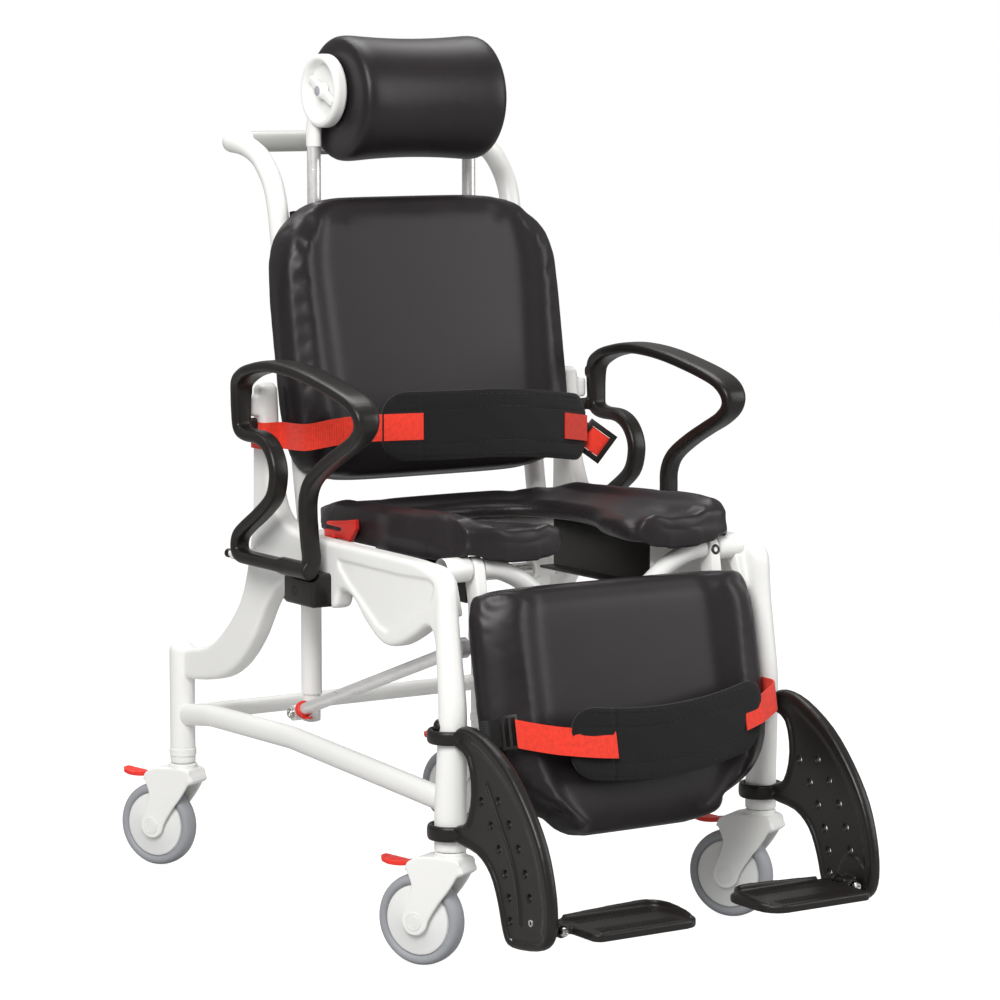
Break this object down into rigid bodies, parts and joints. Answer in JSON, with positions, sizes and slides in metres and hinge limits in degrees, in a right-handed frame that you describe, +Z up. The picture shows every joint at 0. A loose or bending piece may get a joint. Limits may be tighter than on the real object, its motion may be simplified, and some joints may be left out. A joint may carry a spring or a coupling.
{
  "type": "tilt shower commode chair",
  "caption": "Wheeled shower commode chair with horseshoe seat, tilting back linked to a calf rest, headrest, folding armrests and swing-away footrests.",
  "frame": {"origin": "on the floor under the middle of the chair's bounding box", "axes": "+Z up, +X to the sitter's left, -Y the way the sitter faces"},
  "size_m": [0.6534, 1.135, 1.2427],
  "materials": {
    "white_coat": "satin powder coat",
    "foam_skin": "moulded foam skin",
    "black_moulding": "satin",
    "red_moulding": "satin",
    "red_web": "woven webbing",
    "belt_fabric": "stitched fabric",
    "steel": "brushed",
    "wheel": "bonded tread on a moulded core"
  },
  "bodies": {
    "base": {"side_frame_right": "white_coat", "side_frame_left": "white_coat", "base_rail_right": "white_coat", "base_rail_left": "white_coat", "rear_cross_tube": "white_coat", "front_cross_tube": "white_coat", "back_pivot_shaft": "steel", "rear_seat_tube": "white_coat", "seat_pad": "foam_skin", "pan_rail_right": "black_moulding", "pan_rail_left": "black_moulding", "gas_spring_cylinder": "black_moulding", "lap_belt_pad": "belt_fabric", "lap_strap_right": "red_web", "lap_strap_left": "red_web", "lap_buckle": "black_moulding"},
    "back": {"back_upright_right": "white_coat", "back_upright_left": "white_coat", "push_bar": "white_coat", "back_panel": "black_moulding", "back_pad": "foam_skin"},
    "release_handle": {"release_lever": "black_moulding"},
    "headrest_carrier": {"headrest_tube_right": "steel", "headrest_tube_left": "steel", "headrest_cup_right": "white_coat", "headrest_cup_left": "white_coat"},
    "headrest_roll": {"headrest_pad": "foam_skin"},
    "calf_rest": {"calf_hanger_right": "white_coat", "calf_hanger_left": "white_coat", "calf_pad": "foam_skin", "calf_strap_pad": "belt_fabric", "calf_strap_right": "red_web", "calf_strap_left": "red_web", "calf_buckle": "black_moulding"},
    "link_rods": {"link_rod_right": "steel", "link_rod_left": "steel"},
    "spring_rod": {"gas_spring_rod": "steel"},
    "caster_front_right": {"caster_fork_front_right": "white_coat"},
    "wheel_front_right": {"caster_wheel_front_right": "wheel"},
    "brake_front_right": {"brake_pedal_front_right": "red_moulding"},
    "caster_front_left": {"caster_fork_front_left": "white_coat"},
    "wheel_front_left": {"caster_wheel_front_left": "wheel"},
    "brake_front_left": {"brake_pedal_front_left": "red_moulding"},
    "caster_rear_right": {"caster_fork_rear_right": "white_coat"},
    "wheel_rear_right": {"caster_wheel_rear_right": "wheel"},
    "brake_rear_right": {"brake_pedal_rear_right": "red_moulding"},
    "caster_rear_left": {"caster_fork_rear_left": "white_coat"},
    "wheel_rear_left": {"caster_wheel_rear_left": "wheel"},
    "brake_rear_left": {"brake_pedal_rear_left": "red_moulding"},
    "knob_right": {"headrest_knob_right": "white_coat"},
    "armrest_right_arm": {"armrest_right": "black_moulding"},
    "foot_right": {"foot_bracket_right": "black_moulding"},
    "tray_right": {"footplate_right": "black_moulding"},
    "latch_right": {"seat_latch_right": "red_moulding"},
    "knob_left": {"headrest_knob_left": "white_coat"},
    "armrest_left_arm": {"armrest_left": "black_moulding"},
    "foot_left": {"foot_bracket_left": "black_moulding"},
    "tray_left": {"footplate_left": "black_moulding"},
    "latch_left": {"seat_latch_left": "red_moulding"}
  },
  "joints": [
    {"name": "back_tilt", "type": "hinge", "parent": "base", "child": "back", "pos_m": [0, 0.2005, 0.45], "axis": [-1, 0, 0], "range_deg": [0, 24]},
    {"name": "calf_rest_swing", "type": "hinge", "parent": "base", "child": "calf_rest", "pos_m": [0, -0.2305, 0.53], "axis": [-1, 0, 0], "range_deg": [0, 40.52]},
    {"name": "link_swing", "type": "hinge", "parent": "back", "child": "link_rods", "pos_m": [0, 0.2005, 0.272], "axis": [-1, 0, 0], "range_deg": [-21.68, 0]},
    {"name": "spring_stroke", "type": "slide", "parent": "base", "child": "spring_rod", "axis": [0, 1, 0], "range_m": [0, 0.023]},
    {"name": "release_pull", "type": "hinge", "parent": "back", "child": "release_handle", "pos_m": [0, 0.4395, 1.0785], "axis": [1, 0, 0], "range_deg": [0, 12], "stiffness_Nm_per_rad": 0.4, "springref_deg": -20.05},
    {"name": "headrest_height", "type": "slide", "parent": "back", "child": "headrest_carrier", "axis": [0, 0, 1], "range_m": [0, 0.05]},
    {"name": "headrest_tilt", "type": "hinge", "parent": "headrest_carrier", "child": "headrest_roll", "pos_m": [0, 0.2675, 1.162], "axis": [1, 0, 0], "range_deg": [-30, 30]},
    {"name": "swivel_front_right", "type": "hinge", "parent": "base", "child": "caster_front_right", "pos_m": [-0.258, -0.2715, 0.16], "axis": [0, 0, 1], "continuous": true},
    {"name": "roll_front_right", "type": "hinge", "parent": "caster_front_right", "child": "wheel_front_right", "pos_m": [-0.27843, -0.2314, 0.0625], "axis": [0.891, 0.454, 0], "continuous": true},
    {"name": "brake_press_front_right", "type": "hinge", "parent": "caster_front_right", "child": "brake_front_right", "pos_m": [-0.28433, -0.21982, 0.1385], "axis": [-0.891, -0.454, 0], "range_deg": [0, 10]},
    {"name": "swivel_front_left", "type": "hinge", "parent": "base", "child": "caster_front_left", "pos_m": [0.258, -0.2715, 0.16], "axis": [0, 0, 1], "continuous": true},
    {"name": "roll_front_left", "type": "hinge", "parent": "caster_front_left", "child": "wheel_front_left", "pos_m": [0.23757, -0.2314, 0.0625], "axis": [0.891, 0.454, 0], "continuous": true},
    {"name": "brake_press_front_left", "type": "hinge", "parent": "caster_front_left", "child": "brake_front_left", "pos_m": [0.23167, -0.21982, 0.1385], "axis": [-0.891, -0.454, 0], "range_deg": [0, 10]},
    {"name": "swivel_rear_right", "type": "hinge", "parent": "base", "child": "caster_rear_right", "pos_m": [-0.267, 0.4685, 0.16], "axis": [0, 0, 1], "continuous": true},
    {"name": "roll_rear_right", "type": "hinge", "parent": "caster_rear_right", "child": "wheel_rear_right", "pos_m": [-0.28743, 0.5086, 0.0625], "axis": [0.891, 0.454, 0], "continuous": true},
    {"name": "brake_press_rear_right", "type": "hinge", "parent": "caster_rear_right", "child": "brake_rear_right", "pos_m": [-0.29333, 0.52018, 0.1385], "axis": [-0.891, -0.454, 0], "range_deg": [0, 10]},
    {"name": "swivel_rear_left", "type": "hinge", "parent": "base", "child": "caster_rear_left", "pos_m": [0.267, 0.4685, 0.16], "axis": [0, 0, 1], "continuous": true},
    {"name": "roll_rear_left", "type": "hinge", "parent": "caster_rear_left", "child": "wheel_rear_left", "pos_m": [0.24657, 0.5086, 0.0625], "axis": [0.891, 0.454, 0], "continuous": true},
    {"name": "brake_press_rear_left", "type": "hinge", "parent": "caster_rear_left", "child": "brake_rear_left", "pos_m": [0.24067, 0.52018, 0.1385], "axis": [-0.891, -0.454, 0], "range_deg": [0, 10]},
    {"name": "headrest_clamp_right", "type": "hinge", "parent": "headrest_carrier", "child": "knob_right", "pos_m": [-0.14, 0.2675, 1.162], "axis": [1, 0, 0], "continuous": true},
    {"name": "armrest_fold_right", "type": "hinge", "parent": "base", "child": "armrest_right_arm", "pos_m": [-0.305, 0, 0.5045], "axis": [0, -1, 0], "range_deg": [0, 165]},
    {"name": "foot_bracket_swing_right", "type": "hinge", "parent": "base", "child": "foot_right", "pos_m": [-0.258, -0.2715, 0.25], "axis": [0, 0, -1], "range_deg": [0, 85]},
    {"name": "footplate_flip_right", "type": "hinge", "parent": "foot_right", "child": "tray_right", "pos_m": [-0.238, -0.4815, 0.096], "axis": [0, -1, 0], "range_deg": [0, 86]},
    {"name": "seat_latch_turn_right", "type": "hinge", "parent": "base", "child": "latch_right", "pos_m": [-0.228, 0.0765, 0.54], "axis": [-1, 0, 0], "range_deg": [0, 20]},
    {"name": "headrest_clamp_left", "type": "hinge", "parent": "headrest_carrier", "child": "knob_left", "pos_m": [0.14, 0.2675, 1.162], "axis": [1, 0, 0], "continuous": true},
    {"name": "armrest_fold_left", "type": "hinge", "parent": "base", "child": "armrest_left_arm", "pos_m": [0.305, 0, 0.5045], "axis": [0, 1, 0], "range_deg": [0, 165]},
    {"name": "foot_bracket_swing_left", "type": "hinge", "parent": "base", "child": "foot_left", "pos_m": [0.258, -0.2715, 0.25], "axis": [0, 0, 1], "range_deg": [0, 85]},
    {"name": "footplate_flip_left", "type": "hinge", "parent": "foot_left", "child": "tray_left", "pos_m": [0.238, -0.4815, 0.096], "axis": [0, 1, 0], "range_deg": [0, 86]},
    {"name": "seat_latch_turn_left", "type": "hinge", "parent": "base", "child": "latch_left", "pos_m": [0.228, 0.0765, 0.54], "axis": [-1, 0, 0], "range_deg": [0, 20]}
  ],
  "couplings": [
    {"joint": "calf_rest_swing", "follows": "back_tilt", "ratio": 1.68},
    {"joint": "link_swing", "follows": "back_tilt", "ratio": -0.895},
    {"joint": "spring_stroke", "follows": "back_tilt", "m_per_rad": 0.05361}
  ]
}
